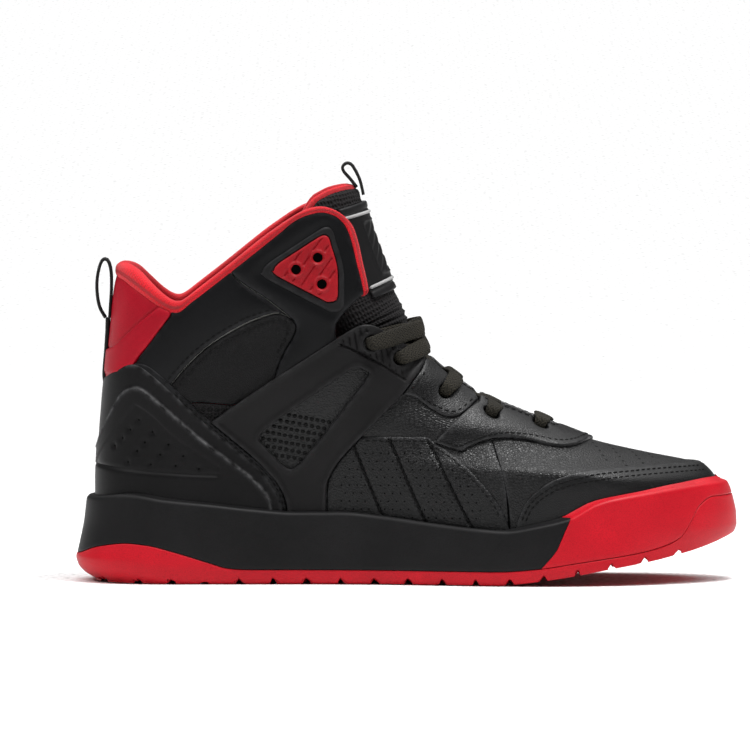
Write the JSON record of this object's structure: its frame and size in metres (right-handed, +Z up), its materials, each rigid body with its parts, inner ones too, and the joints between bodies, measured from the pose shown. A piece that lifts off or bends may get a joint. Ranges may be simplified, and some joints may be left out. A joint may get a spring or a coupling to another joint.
{
  "type": "basketball shoe",
  "caption": "Right high-top court shoe with a cupped rubber sole, wrap-round toe bumper, lace cage, padded collar, tall tongue and pull loops.",
  "frame": {"origin": "on the ground, under the middle of the shoe's length and width", "axes": "+X towards the toe, +Y towards the inner (medial) side, +Z up"},
  "size_m": [0.2999, 0.1088, 0.1893],
  "materials": {
    "red_rubber": "satin moulded rubber",
    "black_rubber": "satin moulded rubber",
    "black_leather": "smooth, semi-gloss",
    "grain_leather": "tumbled grain",
    "black_plastic": "fine moulded texture",
    "red_textile": "brushed knit",
    "black_textile": "spacer mesh and webbing",
    "foam": "open-cell foam",
    "board": "non-woven board"
  },
  "bodies": {
    "shoe": {"outsole": "red_rubber", "toe_bumper": "red_rubber", "midsole": "black_rubber", "strobel_board": "board", "heel_counter": "board", "toe_puff": "board", "vamp_lining": "black_textile", "vamp": "grain_leather", "toe_rand": "black_leather", "lower_eyestay": "black_leather", "heel_tab": "red_textile", "heel_cover": "black_rubber", "collar_roll": "red_textile", "tongue_lower": "black_textile", "tongue_lower_lining": "red_textile", "heel_loop_anchor": "black_textile", "lace": "black_textile", "quarter_lateral": "grain_leather", "ankle_panel_lateral": "black_leather", "ankle_pod_lateral": "grain_leather", "ankle_wing_lateral": "black_leather", "badge_frame_lateral": "black_rubber", "vent_badge_lateral": "red_rubber", "side_vent_panel_lateral": "grain_leather", "cage_lateral": "black_plastic", "upper_eyestay_lateral": "black_leather", "ankle_lining_lateral": "red_textile", "collar_foam_lateral": "foam", "quarter_medial": "grain_leather", "ankle_panel_medial": "black_leather", "ankle_pod_medial": "grain_leather", "ankle_wing_medial": "black_leather", "badge_frame_medial": "black_rubber", "vent_badge_medial": "red_rubber", "side_vent_panel_medial": "grain_leather", "cage_medial": "black_plastic", "upper_eyestay_medial": "black_leather", "ankle_lining_medial": "red_textile", "collar_foam_medial": "foam"},
    "tongue": {"tongue_top": "black_textile", "tongue_top_lining": "red_textile", "tongue_label": "black_rubber"},
    "tongue_loop": {"tongue_loop": "black_textile"},
    "heel_loop": {"heel_loop": "black_textile"},
    "sockliner": {"sockliner": "red_textile"}
  },
  "joints": [
    {"name": "tongue_flex", "type": "hinge", "parent": "shoe", "child": "tongue", "pos_m": [0.001, 0, 0.1235], "axis": [0, 1, 0], "range_deg": [0, 10]},
    {"name": "tongue_loop_swing", "type": "hinge", "parent": "tongue", "child": "tongue_loop", "pos_m": [-0.0215, 0, 0.1778], "axis": [0, 1, 0], "range_deg": [-30, 60], "stiffness_Nm_per_rad": 0.002},
    {"name": "heel_loop_swing", "type": "hinge", "parent": "shoe", "child": "heel_loop", "pos_m": [-0.1373, 0, 0.1184], "axis": [0, -1, 0], "range_deg": [0, 75], "stiffness_Nm_per_rad": 0.006},
    {"name": "sockliner_lift", "type": "hinge", "parent": "shoe", "child": "sockliner", "pos_m": [0.1346, 0, 0.0249], "axis": [0, 1, 0], "range_deg": [0, 4]}
  ]
}
